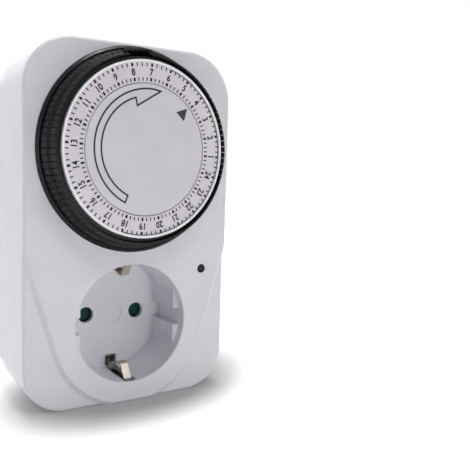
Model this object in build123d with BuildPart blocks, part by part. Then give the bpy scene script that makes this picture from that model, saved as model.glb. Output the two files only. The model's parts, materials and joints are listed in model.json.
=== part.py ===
from build123d import *
from math import acos, atan2, cos, degrees, pi, radians, sin, sqrt, tan
import os

os.makedirs("parts", exist_ok=True)

# Plug-in 24-hour timer switch, in millimetres.
# X runs across the housing, Y from its front to its plug, Z up.
# The origin is the middle of the flat bottom of the front shell.
# "Depth" is measured from the front plane of the housing towards the plug.

# ---------------------------------------------------------------- driving dimensions

# Housing
body_width = 72.0
body_height = 115.5
shell_depth = 27.0            # front plane to the parting line
cover_depth = 12.0            # rear cover behind the parting line
cover_inset = 0.8             # rear cover stands this far inside the shell's outline
top_corner_radius = 16.0
bottom_corner_radius = 14.0
front_edge_radius = 1.0
rear_edge_radius = 2.5
shell_wall = 2.2
cover_wall = 2.0
back_wall = 2.2               # back wall of the rear cover
face_wall = 2.1
corner_step = 1.3             # the lower corners lie behind the raised socket tongue
tongue_radius = 26.4          # rounded lower end of the tongue, around the socket
crease_run = 1.5              # width of the sloping edge of the tongue
crease_angle = -17.0          # where the tongue's straight edge leaves its round end
corner_margin = 4.0           # the cut beside the tongue runs this far past the housing
lip_depth = 3.0
lip_wall = 1.2
lip_clearance = 0.15
overlap = 0.5                 # how far joined solids run into each other
seat_gap = 0.1                # between faces of parts that are screwed or pushed together

# Socket recess and its parts
socket_height = 26.2          # recess axis above the bottom
recess_radius = 19.5
recess_depth = 17.5
recess_rim_radius = 0.5
cup_wall = 1.7
floor_wall = 1.7
skirt_end = 26.0              # depth at which the wall around the contact carrier ends
pin_spacing = 19.0
pin_hole_radius = 2.75
floor_sink_radius = 3.9       # shallow round sink in the middle of the recess floor
floor_sink_depth = 0.2
pad_offset = 16.9             # flat guide pads at both sides of the recess
pad_start = 3.2
pad_groove = 5.6
pad_groove_reach = 19.2       # from the recess axis to the bottom of the groove in a pad
earth_slot_width = 4.2
earth_slot_start = 0.8        # the slot for an earth arm begins behind the rim
earth_slot_depth = 2.2        # it goes through the recess wall
earth_notch = 4.4             # notch in the recess floor, measured in from the wall
pivot_post_radius = 2.4
pivot_post_short = 0.6        # the post ends this far inside the skirt

# Child shutter, its spring and the contact carrier
free_gap = 0.3                # between moving parts and what they pass
shutter_gap = 0.3
shutter_thickness = 2.0
shutter_arm_width = 7.6
shutter_hub_radius = 4.4
ramp_depth = 0.8
ramp_slope = 25.0
running_clearance = 0.05
spring_wire = 0.5
spring_pitch = 0.45
shutter_spring_turns = 5
shutter_spring_leg = 3.0
spring_radius = 3.7
carrier_gap = 0.3
carrier_slack = 0.1
spring_pocket_depth = 2.4
spring_pocket_radius = 5.4

# Contacts, earth parts and plug
sleeve_wall = 0.8
sleeve_bore_radius = 2.4
sleeve_length = 13.2
sleeve_flange = 1.0
sleeve_slit = 0.8
sleeve_slit_length = 6.0
sleeve_clearance = 0.05
strip = 0.8                   # thickness of the contact strips
strip_width = 4.0
earth_strip_width = 2.6
arm_inset = 1.5               # an earth arm passes the floor this far inside the recess wall
earth_hump = 4.2              # how far its contact stands in from the wall
arm_levels = (16.0, 9.0, 6.6, 3.4, 2.2)   # depths of its bends, from the floor to the tip
arm_tip = 0.3                 # the tip lies this far inside the slot in the wall
arm_bend_radius = 0.5
plug_radius = 18.2
plug_length = 17.5
plug_hollow_radius = 14.2
plug_end_wall = 2.6
plug_slack = 0.3              # between the plug's flats and the pads of a socket
plug_groove = 4.8
plug_groove_depth = 1.2
plug_edge = 1.0
plug_pin_radius = 2.4
plug_pin_length = 19.0
plug_shank_radius = 2.0
plug_shank_length = 12.5
rivet_head = 0.4              # the shank stands this far out of its link
eyelet_radius = 3.2
plug_tip_radius = 1.6
pin_seat_radius = 4.0
pin_seat_length = 5.0
plug_earth_width = 4.2
plug_earth_thickness = 0.9
plug_earth_end = 2.6          # the earth strip ends this far before the plug's face
plug_strip_base = 33.0        # depth of the earth strip, where the rivet joins it
earth_slot_clearance = 0.15
rivet_radius = 1.6

# Dial
dial_height = 82.3            # dial axis above the bottom
well_wall = 1.4
well_depth = 8.0
well_floor = 1.6
dial_gap = 0.35               # between the drum's skirt and the front plane
drum_base_radius = 32.4
skirt_overhang = 0.8          # the drum's skirt covers the edge of the well by this much
drum_rim_inset = 4.2          # from the edge of the skirt to the outside of the rim
drum_rim_wall = 1.6
drum_top = 7.0                # rim of the drum in front of the front plane
drum_web = 1.6
drum_floor_half = 0.6
skirt_bore_inset = 0.95       # from the edge of the skirt to its bore
skirt_height = 1.3
skirt_lip = 0.15              # width of the skirt's front edge
sleeve_radius = 5.6           # turning sleeve of the drum
spindle_radius = 3.0
scale_inset = 1.1             # from the outside of the rim to the scale ring
scale_width = 6.8
scale_face = 8.4
scale_lip_width = 0.7
scale_lip_height = 0.3
disc_gap = 0.2
disc_edge = 0.25
disc_room = 2.5               # between the centre disc and the drum's web
disc_boss_radius = 5.4
spindle_flange = 1.4

# Switching tappets: four to the hour, all round the drum
hours = 24
scale_start = -18.0           # direction of hour 24 on the dial, counted from +X towards Z
tappets_per_hour = 4
tappet_gap = 0.16
tappet_top = 8.0
tappet_lift = 0.3             # between a tappet and the drum's floor
tappet_profile = (0.6, 1.2, 1.9)    # thickness at the top, above the ledge and on it
tappet_root = (0.3, 0.25)     # room to the skirt's bore at its front edge and at the floor
ledge_slope = 0.3             # the ledge falls by this much towards its edge
tappet_room = 0.3             # between the drum's rim and the tappets
ledge_depth = 4.3             # ledge half way up each tappet
foot_angle = 1.8              # width of a tappet's foot, in degrees
foot_length = 2.4
foot_half = 0.4               # half the thickness of a foot
slot_room_inside = 0.8        # beside a foot, for its tilt
slot_room_outside = 0.4
rib_width = 0.6
tappet_pivot_inset = 2.2      # from the edge of the skirt to the axis that a tappet tilts about
pushed_hour = 7               # the hour whose tappets are pushed out
pushed_tilt = 9.0

# Gear train
gear_module = 0.7
mesh_slack = 0.05             # added to each centre distance
dial_teeth = 64
small_teeth = 12
large_teeth = 40
gear_thickness = 2.0
pressure_angle = 20.0
addendum = 0.8                # in modules
dedendum = 1.15
flank_relief = 0.06           # taken off each side of a tooth
idler_angle = -125.0          # direction from the dial axis to the idler
motor_angle = 10.0            # direction from the idler to the motor pinion
first_gear_depth = 10.4
pinion_extra = 0.2            # a pinion stands out this far in front of its wheel
gear_step = 0.8               # between the two gear planes
web_hole_radius = 4.2
web_hole_circle = 13.5
web_holes = 5
axle_radius = 1.0
axle_seat = 1.1               # how deep the idler's axle enters the well's floor
motor_radius = 17.0
motor_length = 11.0
motor_offset = (2.7, 8.6)     # from the output pinion to the middle of the can
motor_edge = 1.2
ear_angle = 60.0
ear_reach = 19.5              # from the middle of the can to the hole in an ear
ear_width = 6.0
ear_thickness = 1.0
ear_hole_radius = 1.6
shaft_seat = 0.5              # how deep the shaft enters the can
cap_radius = 4.0
cap_height = 1.2

# Chassis
chassis_depth = 17.0
chassis_thickness = 1.6
chassis_post_radius = 2.6
chassis_margin = 3.4          # of the plate around its posts
cup_room = 0.8                # between the plate and the socket's cup
lower_posts = ((-30.0, 23.3), (12.0, 24.3))      # measured from the socket's axis
upper_posts = ((29.5, -33.5), (-28.0, -17.5))    # measured from the top of the housing
chassis_screw_radius = 1.2
chassis_screw_bite = 5.0
chassis_screw_head = 1.6      # height of the head
screw_hole_slack = 0.05
pilot_room = 1.0              # a screw's hole is this much deeper than its thread reaches

# Switch lever and contacts
lever_pivot_offset = (24.5, -6.3)     # measured from the dial's axis
lever_output_offset = (21.6, -19.4)
lever_nose_angle = 41.0
lever_nose_inset = 2.0        # the nose runs this far inside the axis that the tappets tilt about
lever_pin_radius = 1.0
lever_depth = 3.1
lever_thickness = 1.9
lever_stud_radius = 1.2
lever_width = 2.2
lever_hub_wall = 1.4
lever_coil_radius = 1.8
lever_spring_turns = 6
lever_spring_leg = 2.4
lever_nose_tip = 0.6          # radius of the pin that the feet push on
lever_swing = 4.0             # degrees
output_slot_room = 0.5        # around the lever's output pin in the well's floor
holder_room = 1.0             # between the well's floor and the bridge's holder
holder_depth = 2.8
holder_half = 1.8
holder_height = 6.0
bridge_reach = (5.1, 4.3)     # from the lever's output down and up to the contacts
bridge_strip = 0.4
bridge_width = 2.0
bridge_end = 1.6              # of the strip beyond the middle of a contact
button_height = 0.6
contact_radius = 1.1
contact_air_gap = 0.12        # left between the contacts at full swing
contact_tongue_x = 27.4       # the links' tongues that carry the fixed contacts
live_link_rise = 8.2          # above the pins, where the live link turns towards the back wall
live_link_bend = 3.0

# Indicator, side slider and screws
indicator_offset = (26.1, 16.7)       # measured from the socket's axis
indicator_radius = 1.5
indicator_tube_radius = 2.9
indicator_tube_end = 9.0
lens_slack = 0.05
lens_sink = 0.2               # the lens lies this far below the face
lens_length = 2.0
lens_edge = 0.3
lamp_length = 5.2
lead_radius = 0.25
lead_spacing = 1.3
slider_from_top = 23.5
slider_depth = 15.0
slider_travel = 4.0
slider_knob = (5.8, 6.0)      # depth and height of the knob
slider_neck = 3.2             # depth of the neck that passes the wall
slider_proud = 1.4
slider_slack = 0.15
slider_plate = 1.35           # thickness of the plate behind the wall
slider_plate_reach = 2.0      # the plate stands this far beyond the knob at both ends
cover_screw_radius = 1.4
cover_screw_head = 2.7
cover_screw_bite = 10.0       # length of thread in the shell's bosses
head_sink = 5.0               # the screws' heads sit this far inside the back
head_height = 1.8
boss_radius = 3.4
boss_end = 23.6
boss_inset = 0.3              # between a screw column and the inside of the wall

# ---------------------------------------------------------------- shared frame

front_y = -shell_depth / 2
half_width = body_width / 2
body_depth = shell_depth + cover_depth
pin_x = pin_spacing / 2
floor_back = recess_depth + floor_wall
well_back = well_depth + well_floor
plug_face = body_depth + plug_length
plug_flat = pad_offset - plug_slack
cavity_front = corner_step + face_wall
backward = (0, 1, 0)
dial_axis = Axis((0, front_y, dial_height), backward)
socket_place = (0, socket_height)
dial_place = (0, dial_height)
top_place = (0, body_height)


def polar(radius, angle, centre=(0.0, 0.0)):
    return (centre[0] + radius * cos(radians(angle)), centre[1] + radius * sin(radians(angle)))


def beside(place, offset):
    """Point at an offset from another."""
    return (place[0] + offset[0], place[1] + offset[1])


first_mesh = gear_module * (dial_teeth + small_teeth) / 2 + mesh_slack
second_mesh = gear_module * (large_teeth + small_teeth) / 2 + mesh_slack
idler_place = polar(first_mesh, idler_angle, dial_place)
motor_place = polar(second_mesh, motor_angle, idler_place)
lever_pivot = beside(dial_place, lever_pivot_offset)
lever_output = beside(dial_place, lever_output_offset)
lever_stroke = radians(lever_swing) * (lever_pivot[1] - lever_output[1])
bridge_z = (lever_output[1] - bridge_reach[0], lever_output[1] + bridge_reach[1])
indicator_place = beside(socket_place, indicator_offset)
slider_height = body_height - slider_from_top
live_link_top = socket_height + live_link_rise
chassis_posts = [beside(socket_place, offset) for offset in lower_posts]
chassis_posts += [beside(top_place, offset) for offset in upper_posts]
arm_height = recess_radius - arm_inset
well_radius = drum_base_radius - skirt_overhang
skirt_bore_radius = drum_base_radius - skirt_bore_inset
drum_rim_radius = drum_base_radius - drum_rim_inset
scale_outer_radius = drum_rim_radius - scale_inset
scale_inner_radius = scale_outer_radius - scale_width
tappet_inner_radius = drum_rim_radius + tappet_room
tappet_pivot_radius = drum_base_radius - tappet_pivot_inset
lever_nose_radius = tappet_pivot_radius - lever_nose_inset
second_gear_depth = first_gear_depth + gear_thickness + gear_step
motor_start = chassis_depth + chassis_thickness
earth_bar_start = skirt_end + free_gap

# the cover's screws stand on the diagonals of the four corners
cover_screw_places = []
for corner_radius, corner_z in ((bottom_corner_radius, 0.0), (top_corner_radius, body_height)):
    run = (corner_radius - shell_wall - boss_radius - boss_inset) / sqrt(2) - corner_radius
    for side in (-1, 1):
        cover_screw_places.append((side * (half_width + run), abs(corner_z + run)))


def at_depth(depth):
    """Upright plane facing the front, with X across and Z up."""
    return Plane(origin=(0, front_y + depth, 0), x_dir=(1, 0, 0), z_dir=(0, -1, 0))


def section(height):
    """Level plane for turned profiles: radius across, depth towards the plug."""
    return Plane(origin=(0, front_y, height), x_dir=(1, 0, 0), z_dir=(0, 0, 1))


def around(middle, width):
    """Limits of a width set evenly about its middle."""
    return (middle - width / 2, middle + width / 2)


side_section = Plane(origin=(0, front_y, 0), x_dir=(0, 1, 0), z_dir=(1, 0, 0))


def disc(radius, place, start, end, mode=Mode.ADD):
    """Round bar or hole along Y between two depths."""
    with BuildSketch(at_depth(start)) as face:
        with Locations(place):
            Circle(radius)
    extrude(face.sketch, amount=end - start, dir=backward, mode=mode)


def block(x_range, depth_range, z_range, mode=Mode.ADD):
    """Rectangular bar or pocket given by its limits in X, depth and Z."""
    with BuildSketch(at_depth(depth_range[0])) as face:
        with Locations(((x_range[0] + x_range[1]) / 2, (z_range[0] + z_range[1]) / 2)):
            Rectangle(x_range[1] - x_range[0], z_range[1] - z_range[0])
    extrude(face.sketch, amount=depth_range[1] - depth_range[0], dir=backward, mode=mode)


def save(part, name):
    part.label = name
    export_step(part, "parts/" + name + ".step")


# ---------------------------------------------------------------- housing


def housing_outline(inset=0.0):
    with Locations((0, body_height / 2)):
        Rectangle(body_width - 2 * inset, body_height - 2 * inset)
    fillet(vertices().group_by(Axis.Y)[-1], top_corner_radius - inset)
    fillet(vertices().group_by(Axis.Y)[0], bottom_corner_radius - inset)


def lower_corner():
    """Area beside the tongue, at the foot of its sloping edge, on the +X side."""
    outside = half_width + corner_margin
    radius = tongue_radius + crease_run
    start = polar(radius, crease_angle, (0, socket_height))
    middle = polar(radius, (crease_angle - 90) / 2, (0, socket_height))
    bottom = (0, socket_height - radius)
    rise = (outside - start[0]) / tan(radians(-crease_angle))
    with BuildLine() as outline:
        Line((outside, start[1] + rise), start)
        ThreePointArc(start, middle, bottom)
        Polyline(bottom, (0, -outside), (outside, -outside), (outside, start[1] + rise))
    make_face(outline.line.edges())


def recess_outline():
    """Recess behind the rim: round, with a grooved flat pad at each side."""
    with Locations(socket_place):
        Circle(recess_radius)
        Rectangle(2 * pad_offset, 2 * recess_radius, mode=Mode.INTERSECT)
        Rectangle(2 * pad_groove_reach, pad_groove)


def earth_slots(mode):
    """Slots for the earth arms, at the top and bottom of the recess."""
    reach = recess_radius + earth_slot_depth
    for side in (-1, 1):
        inner = socket_height + side * (recess_radius - earth_notch)
        outer = socket_height + side * reach
        wall = socket_height + side * (recess_radius - overlap)
        x_range = (-earth_slot_width / 2, earth_slot_width / 2)
        block(x_range, (recess_depth - overlap, floor_back), sorted((inner, outer)), mode)
        block(x_range, (earth_slot_start, recess_depth), sorted((wall, outer)), mode)


with BuildPart() as tongue:
    with BuildSketch(at_depth(0)):
        housing_outline()
    extrude(amount=corner_step + face_wall / 2, dir=backward)
    fillet(faces().sort_by(Axis.Y)[0].edges(), front_edge_radius)
    with BuildSketch(at_depth(corner_step)) as corners:
        lower_corner()
        mirror(about=Plane.YZ)
    slope = degrees(atan2(crease_run, corner_step))
    extrude(corners.sketch, amount=corner_step, taper=-slope, mode=Mode.SUBTRACT)
    extrude(corners.sketch, amount=cavity_front, dir=backward, mode=Mode.SUBTRACT)

with BuildPart() as front_shell:
    with BuildSketch(at_depth(corner_step)):
        housing_outline()
    extrude(amount=shell_depth - corner_step, dir=backward)
    fillet(faces().sort_by(Axis.Y)[0].edges(), front_edge_radius)
    add(tongue.part)
    # inside
    with BuildSketch(at_depth(cavity_front)):
        housing_outline(shell_wall)
    extrude(amount=shell_depth - cavity_front, dir=backward, mode=Mode.SUBTRACT)
    inside_start = cavity_front - overlap
    disc(recess_radius + cup_wall, socket_place, inside_start, skirt_end)
    disc(well_radius + well_wall, dial_place, inside_start, well_back)
    disc(indicator_tube_radius, indicator_place, inside_start, indicator_tube_end)
    for place in cover_screw_places:
        disc(boss_radius, place, inside_start, boss_end)
    for place in chassis_posts:
        disc(chassis_post_radius, place, inside_start, chassis_depth)
    # socket recess, pads, pin holes and earth slots
    disc(recess_radius, socket_place, 0, pad_start, Mode.SUBTRACT)
    with BuildSketch(at_depth(pad_start)):
        recess_outline()
    extrude(amount=recess_depth - pad_start, dir=backward, mode=Mode.SUBTRACT)
    disc(recess_radius, socket_place, floor_back, skirt_end, Mode.SUBTRACT)
    for side in (-1, 1):
        disc(pin_hole_radius, (side * pin_x, socket_height), recess_depth, floor_back, Mode.SUBTRACT)
    sink_end = recess_depth + floor_sink_depth
    disc(floor_sink_radius, socket_place, recess_depth, sink_end, Mode.SUBTRACT)
    earth_slots(Mode.SUBTRACT)
    disc(pivot_post_radius, socket_place, floor_back - overlap, skirt_end - pivot_post_short)
    # dial well, with the hole for the drum's sleeve and the lever's stud and slot
    disc(well_radius, dial_place, 0, well_depth, Mode.SUBTRACT)
    disc(sleeve_radius + free_gap, dial_place, well_depth, well_back, Mode.SUBTRACT)
    disc(lever_stud_radius, lever_pivot, lever_depth, well_depth + overlap)
    with BuildSketch(at_depth(well_depth)):
        with Locations((lever_output[0] + lever_stroke / 2, lever_output[1])):
            slot_width = 2 * (lever_pin_radius + output_slot_room)
            SlotOverall(slot_width + lever_stroke, slot_width)
    extrude(amount=well_floor, dir=backward, mode=Mode.SUBTRACT)
    disc(axle_radius, idler_place, well_back - axle_seat, well_back, Mode.SUBTRACT)
    # indicator hole, screw holes and the slider's slot
    disc(indicator_radius + lens_slack, indicator_place, 0, indicator_tube_end, Mode.SUBTRACT)
    for place in cover_screw_places:
        pilot = boss_end - cover_screw_bite - pilot_room
        disc(cover_screw_radius + screw_hole_slack, place, pilot, boss_end, Mode.SUBTRACT)
    for place in chassis_posts:
        pilot = chassis_depth - chassis_screw_bite - pilot_room
        disc(chassis_screw_radius + screw_hole_slack, place, pilot, chassis_depth, Mode.SUBTRACT)
    slot_half = (slider_knob[1] + slider_travel) / 2 + slider_slack
    block(
        (half_width - shell_wall - overlap, half_width + overlap),
        (slider_depth - slider_neck / 2 - slider_slack, slider_depth + slider_neck / 2 + slider_slack),
        (slider_height - slot_half, slider_height + slot_half),
        Mode.SUBTRACT,
    )
    circles = edges().filter_by(GeomType.CIRCLE).filter_by_position(Axis.Y, front_y, front_y)
    rim = [edge for edge in circles if abs(edge.radius - recess_radius) < seat_gap]
    fillet(rim, recess_rim_radius)
save(front_shell.part, "front_shell")


def plug_face_outline():
    """Round plug body with a grooved flat at each side and an earth groove above and below."""
    with Locations(socket_place):
        Circle(plug_radius)
        Rectangle(2 * plug_flat, 2 * plug_radius, mode=Mode.INTERSECT)
        for side in (-1, 1):
            with Locations((side * plug_flat, 0)):
                Rectangle(2 * plug_groove_depth, plug_groove, mode=Mode.SUBTRACT)


with BuildPart() as rear_cover:
    with BuildSketch(at_depth(shell_depth)):
        housing_outline(cover_inset)
    extrude(amount=cover_depth, dir=backward)
    fillet(faces().sort_by(Axis.Y)[-1].edges(), rear_edge_radius)
    with BuildSketch(at_depth(shell_depth)):
        housing_outline(cover_inset + cover_wall)
    extrude(amount=cover_depth - back_wall, dir=backward, mode=Mode.SUBTRACT)
    # lip that enters the shell
    lip_inset = shell_wall + lip_clearance
    with BuildSketch(at_depth(shell_depth - lip_depth)):
        housing_outline(lip_inset)
    extrude(amount=lip_depth + cover_wall, dir=backward)
    with BuildSketch(at_depth(shell_depth - lip_depth)):
        housing_outline(lip_inset + lip_wall)
    extrude(amount=lip_depth + cover_wall, dir=backward, mode=Mode.SUBTRACT)
    # screw columns
    for place in cover_screw_places:
        disc(boss_radius, place, boss_end + seat_gap, body_depth - back_wall + overlap)
    # plug body
    with BuildSketch(at_depth(body_depth - overlap)):
        plug_face_outline()
    extrude(amount=plug_length + overlap, dir=backward)
    fillet(faces().sort_by(Axis.Y)[-1].outer_wire().edges(), plug_edge)
    disc(plug_hollow_radius, socket_place, shell_depth, plug_face - plug_end_wall, Mode.SUBTRACT)
    for side in (-1, 1):
        seat = (side * pin_x, socket_height)
        seat_start = plug_face - plug_end_wall - pin_seat_length
        disc(pin_seat_radius, seat, seat_start, plug_face - plug_end_wall + overlap)
        disc(plug_shank_radius, seat, seat_start, plug_face, Mode.SUBTRACT)
        # earth groove outside, slot through the back wall
        outer = socket_height + side * (plug_radius + overlap)
        inner = socket_height + side * (plug_radius - plug_earth_thickness - 2 * earth_slot_clearance)
        half = plug_earth_width / 2 + earth_slot_clearance
        groove = (body_depth - back_wall - overlap, plug_face - plug_earth_end + earth_slot_clearance)
        block((-half, half), groove, sorted((inner, outer)), Mode.SUBTRACT)
    # screw holes with sunk heads
    for place in cover_screw_places:
        disc(cover_screw_radius + seat_gap, place, boss_end, body_depth, Mode.SUBTRACT)
        disc(cover_screw_head + seat_gap, place, body_depth - head_sink, body_depth, Mode.SUBTRACT)
save(rear_cover.part, "rear_cover")

with BuildPart() as cover_screws:
    for place in cover_screw_places:
        disc(cover_screw_radius, place, boss_end - cover_screw_bite, body_depth - head_sink)
        disc(cover_screw_head, place, body_depth - head_sink, body_depth - head_sink + head_height)
save(cover_screws.part, "cover_screws")

# ---------------------------------------------------------------- socket

shutter_start = floor_back + shutter_gap
shutter_end = shutter_start + shutter_thickness
carrier_start = shutter_end + carrier_gap
with BuildPart() as child_shutter:
    with BuildSketch(at_depth(shutter_start)):
        with Locations(socket_place):
            SlotCenterToCenter(pin_spacing, shutter_arm_width)
            Circle(shutter_hub_radius)
            Circle(pivot_post_radius + running_clearance, mode=Mode.SUBTRACT)
    extrude(amount=shutter_thickness, dir=backward)
    # shallow ramps that the two pins of a plug push on together
    for side in (-1, 1):
        with BuildSketch(at_depth(shutter_start)) as ramp:
            with Locations((side * pin_x, socket_height)):
                Circle(pin_hole_radius)
        extrude(ramp.sketch, amount=ramp_depth, dir=backward, taper=ramp_slope, mode=Mode.SUBTRACT)
save(child_shutter.part, "child_shutter")


def torsion_spring(place, start, radius, turns, leg):
    """Close-wound coil about an axis along Y, each turn a ridge, with a leg at each end."""
    with BuildSketch(section(place[1])) as face:
        for turn in range(turns):
            with Locations((place[0] + radius, start + spring_wire / 2 + turn * spring_pitch)):
                Rectangle(spring_wire / sqrt(2), spring_wire / sqrt(2), rotation=45)
    revolve(face.sketch, axis=Axis((place[0], front_y, place[1]), backward))
    for side, depth in ((1, start), (-1, start + (turns - 1) * spring_pitch)):
        leg_x = place[0] + side * radius
        leg_z = sorted((place[1], place[1] + side * leg))
        block(around(leg_x, spring_wire / 2), around(depth + spring_wire / 2, spring_wire / 2), leg_z)


with BuildPart() as shutter_spring:
    spring_room = carrier_start + spring_pocket_depth - shutter_end
    spring_height = spring_wire + (shutter_spring_turns - 1) * spring_pitch
    spring_start = shutter_end + (spring_room - spring_height) / 2
    torsion_spring(socket_place, spring_start, spring_radius, shutter_spring_turns, shutter_spring_leg)
save(shutter_spring.part, "shutter_spring")

carrier_radius = recess_radius - carrier_slack
with BuildPart() as contact_carrier:
    disc(carrier_radius, socket_place, carrier_start, skirt_end)
    disc(pivot_post_radius + carrier_slack, socket_place, carrier_start, skirt_end, Mode.SUBTRACT)
    disc(
        spring_pocket_radius,
        socket_place,
        carrier_start,
        carrier_start + spring_pocket_depth,
        Mode.SUBTRACT,
    )
    for side in (-1, 1):
        place = (side * pin_x, socket_height)
        bore = sleeve_bore_radius + sleeve_wall + sleeve_clearance
        disc(bore, place, carrier_start, skirt_end, Mode.SUBTRACT)
        inner = socket_height + side * (arm_height - strip / 2 - free_gap)
        outer = socket_height + side * recess_radius
        half = earth_slot_width / 2
        block((-half, half), (carrier_start, skirt_end), sorted((inner, outer)), Mode.SUBTRACT)
save(contact_carrier.part, "contact_carrier")

sleeve_start = carrier_start + seat_gap
sleeve_end = sleeve_start + sleeve_length
flange_start = skirt_end + seat_gap
link_start = flange_start + sleeve_flange + seat_gap
for side, name in ((-1, "neutral_contact"), (1, "live_contact")):
    place = (side * pin_x, socket_height)
    sleeve_radius_outer = sleeve_bore_radius + sleeve_wall
    with BuildPart() as contact:
        disc(sleeve_radius_outer, place, sleeve_start, sleeve_end)
        disc(sleeve_radius_outer + sleeve_flange, place, flange_start, flange_start + sleeve_flange)
        disc(sleeve_bore_radius, place, sleeve_start, sleeve_end, Mode.SUBTRACT)
        slit_end = sleeve_end - sleeve_slit_length
        across = 2 * sleeve_bore_radius
        for half_x, half_z in ((sleeve_slit / 2, across), (across, sleeve_slit / 2)):
            block(
                (place[0] - half_x, place[0] + half_x),
                (slit_end, sleeve_end),
                (place[1] - half_z, place[1] + half_z),
                Mode.SUBTRACT,
            )
    save(contact.part, name)


def earth_arm(side):
    """Path of one earth arm: (depth, height) points from the base bar to its tip."""
    contact = recess_radius - earth_hump
    heights = (arm_height, contact, contact, recess_radius + arm_tip, recess_radius + arm_tip)
    reach = [(earth_bar_start + strip / 2, arm_height), *zip(arm_levels, heights)]
    return [(depth, socket_height + side * height) for depth, height in reach]


with BuildPart() as earth_bracket:
    upper = earth_arm(1)
    lower = earth_arm(-1)
    with BuildSketch(side_section):
        with BuildLine() as path:
            FilletPolyline(*reversed(upper), *lower, radius=arm_bend_radius)
        trace(path.line, line_width=strip)
    extrude(amount=earth_strip_width / 2, both=True)
save(earth_bracket.part, "earth_bracket")

plug_strip_height = plug_radius - plug_earth_thickness / 2 - earth_slot_clearance
with BuildPart() as plug_earth_strip:
    with BuildSketch(side_section):
        with BuildLine() as path:
            Polyline(
                (plug_face - plug_earth_end, socket_height + plug_strip_height),
                (plug_strip_base + plug_earth_thickness / 2, socket_height + plug_strip_height),
                (plug_strip_base + plug_earth_thickness / 2, socket_height - plug_strip_height),
                (plug_face - plug_earth_end, socket_height - plug_strip_height),
            )
        trace(path.line, line_width=plug_earth_thickness)
    extrude(amount=plug_earth_width / 2, both=True)
save(plug_earth_strip.part, "plug_earth_strip")

with BuildPart() as earth_rivet:
    disc(rivet_radius, socket_place, earth_bar_start + strip, plug_strip_base)
save(earth_rivet.part, "earth_rivet")

eyelet_depth = plug_face - plug_shank_length
for side, name in ((-1, "plug_pin_neutral"), (1, "plug_pin_live")):
    place = (side * pin_x, socket_height)
    with BuildPart() as pin:
        disc(plug_shank_radius, place, eyelet_depth - rivet_head, plug_face)
        disc(plug_pin_radius, place, plug_face, plug_face + plug_pin_length)
        fillet(faces().sort_by(Axis.Y)[-1].edges(), plug_tip_radius)
    save(pin.part, name)

link_x = pin_x + sleeve_bore_radius + sleeve_wall
with BuildPart() as neutral_link:
    with BuildSketch(at_depth(eyelet_depth)):
        with Locations((-pin_x, socket_height)):
            Circle(eyelet_radius)
        with Locations((-(pin_x + link_x + strip) / 2, socket_height)):
            Rectangle(link_x + strip - pin_x, strip_width)
        with Locations((-pin_x, socket_height)):
            Circle(plug_shank_radius, mode=Mode.SUBTRACT)
    extrude(amount=strip, dir=backward)
    block((-link_x - strip, -link_x), (link_start, eyelet_depth), around(socket_height, strip_width))
save(neutral_link.part, "neutral_link")

back_strip = body_depth - back_wall - free_gap - strip
with BuildPart() as live_link:
    with BuildSketch(at_depth(eyelet_depth)):
        with Locations((pin_x, socket_height)):
            Circle(eyelet_radius)
        with Locations((pin_x, (socket_height + live_link_top) / 2)):
            Rectangle(strip_width, live_link_top - socket_height)
        with Locations((pin_x, socket_height)):
            Circle(plug_shank_radius, mode=Mode.SUBTRACT)
    extrude(amount=strip, dir=backward)
    riser = (live_link_top - strip, live_link_top)
    block(around(pin_x, strip_width), (back_strip, eyelet_depth + strip), riser)
    upper_contact = bridge_z[1]
    with BuildSketch(at_depth(back_strip)):
        with BuildLine() as path:
            FilletPolyline(
                (pin_x, live_link_top - strip),
                (pin_x, upper_contact),
                (contact_tongue_x + strip, upper_contact),
                radius=live_link_bend,
            )
        trace(path.line, line_width=strip_width)
    extrude(amount=strip, dir=backward)
    tongue_x = (contact_tongue_x, contact_tongue_x + strip)
    block(tongue_x, (first_gear_depth, back_strip + strip), around(upper_contact, strip_width))
save(live_link.part, "live_link")

lower_contact = bridge_z[0]
with BuildPart() as switched_link:
    with BuildSketch(at_depth(link_start)):
        with BuildLine() as path:
            FilletPolyline(
                (link_x + strip / 2, socket_height + strip_width / 2),
                (link_x + strip / 2, socket_height - strip_width / 2),
                (contact_tongue_x + strip / 2, socket_height - strip_width / 2),
                (contact_tongue_x + strip / 2, lower_contact + strip_width / 2),
                radius=strip,
            )
        trace(path.line, line_width=strip)
    extrude(amount=strip_width / 2, dir=backward)
    tongue_depth = (first_gear_depth, link_start + strip_width / 2)
    block(tongue_x, tongue_depth, around(lower_contact, strip_width))
save(switched_link.part, "switched_link")

# ---------------------------------------------------------------- dial

sleeve_front = drum_top - disc_room        # front end of the drum's sleeve
sleeve_back = first_gear_depth + gear_thickness
slot_inner = tappet_pivot_radius - foot_half - slot_room_inside
slot_outer = tappet_pivot_radius + foot_half + slot_room_outside


def turned(outline, plane, turn=360.0, mode=Mode.ADD):
    """Solid turned about the dial axis from a (radius, depth) outline."""
    with BuildSketch(plane) as face:
        with BuildLine() as edge:
            Polyline(*outline, close=True)
        make_face(edge.line.edges())
    revolve(face.sketch, axis=dial_axis, revolution_arc=turn, mode=mode)


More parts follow.
